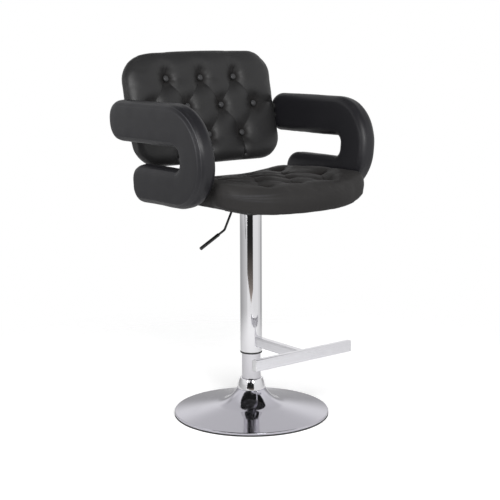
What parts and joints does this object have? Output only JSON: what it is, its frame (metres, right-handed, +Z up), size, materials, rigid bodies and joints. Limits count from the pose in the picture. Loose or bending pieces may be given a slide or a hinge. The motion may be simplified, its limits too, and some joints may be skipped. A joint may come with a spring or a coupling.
{
  "type": "height-adjustable swivel armchair stool",
  "caption": "Salon armchair stool with a tufted saddle seat and back, C-shaped padded arms, gas-lift column, T footrest, release lever and round trumpet base.",
  "frame": {"origin": "centre of the round base, on the floor", "axes": "+Z up, the sitter faces -Y, +X is the sitter's left"},
  "size_m": [0.5878, 0.5234, 0.9502],
  "materials": {
    "chrome": "polished",
    "cap_grey": "satin",
    "leatherette": "soft sheen",
    "dust_cloth": "non-woven",
    "plywood": "raw",
    "black_steel": "powder coated",
    "zinc_steel": "zinc plated",
    "piston_alloy": "machined",
    "black_plastic": "moulded",
    "black_rubber": "matt",
    "iron": "raw"
  },
  "bodies": {
    "base": {"base_shell": "chrome", "base_foot_ring": "black_rubber", "base_floor_plate": "black_steel", "base_ballast": "iron", "base_bolts": "zinc_steel", "base_nuts": "zinc_steel", "column_foot_flange": "zinc_steel", "column_lower_tube": "chrome", "column_collar": "chrome", "column_guide_bush": "black_plastic", "bearing_socket": "zinc_steel", "bearing_lower_race": "zinc_steel", "bearing_rollers": "zinc_steel", "bearing_cage": "black_plastic"},
    "swivel": {"bearing_upper_race": "zinc_steel", "piston_rod": "zinc_steel", "rod_washer": "zinc_steel", "rod_clip": "zinc_steel", "bump_stop": "black_rubber", "piston": "piston_alloy", "piston_seal": "black_rubber"},
    "seat": {"gas_cylinder": "black_steel", "cylinder_rod_guide": "black_plastic", "column_sleeve": "chrome", "sleeve_end_ring": "black_plastic", "sleeve_top_ring": "black_plastic", "footrest_stem": "chrome", "footrest_crossbar": "chrome", "footrest_end_caps": "cap_grey", "mount_plate": "black_steel", "mount_hub": "black_steel", "mount_bolts": "zinc_steel", "mount_washers": "zinc_steel", "mount_tee_nuts": "zinc_steel", "lever_bracket": "black_steel", "seat_frame": "plywood", "seat_board": "plywood", "seat_dust_cover": "dust_cloth", "seat_cushion": "leatherette", "left_arm_core": "plywood", "left_arm_pad": "leatherette", "right_arm_core": "plywood", "right_arm_pad": "leatherette", "seat_arm_bolts": "zinc_steel", "seat_arm_nuts": "zinc_steel", "back_arm_bolts": "zinc_steel", "back_barrel_nuts": "zinc_steel", "back_spacers": "black_plastic", "back_frame": "plywood", "back_rear_panel": "leatherette", "back_cushion": "leatherette", "back_buttons": "leatherette"},
    "lever": {"release_lever": "black_steel", "lever_grip": "black_plastic", "lever_pivot_pin": "zinc_steel"},
    "valve": {"valve_pin": "zinc_steel"}
  },
  "joints": [
    {"name": "seat_swivel", "type": "hinge", "parent": "base", "child": "swivel", "pos_m": [0, 0, 0.02], "axis": [0, 0, 1], "continuous": true},
    {"name": "seat_height", "type": "slide", "parent": "swivel", "child": "seat", "axis": [0, 0, 1], "range_m": [-0.06, 0.155]},
    {"name": "lever_lift", "type": "hinge", "parent": "seat", "child": "lever", "pos_m": [-0.038, 0, 0.5643], "axis": [0, 1, 0], "range_deg": [0, 6], "stiffness_Nm_per_rad": 0.5, "springref_deg": -5.73},
    {"name": "valve_press", "type": "slide", "parent": "seat", "child": "valve", "axis": [0, 0, -1], "range_m": [0, 0.004], "stiffness_N_per_m": 500}
  ],
  "couplings": [
    {"joint": "valve_press", "follows": "lever_lift", "m_per_rad": 0.038}
  ]
}
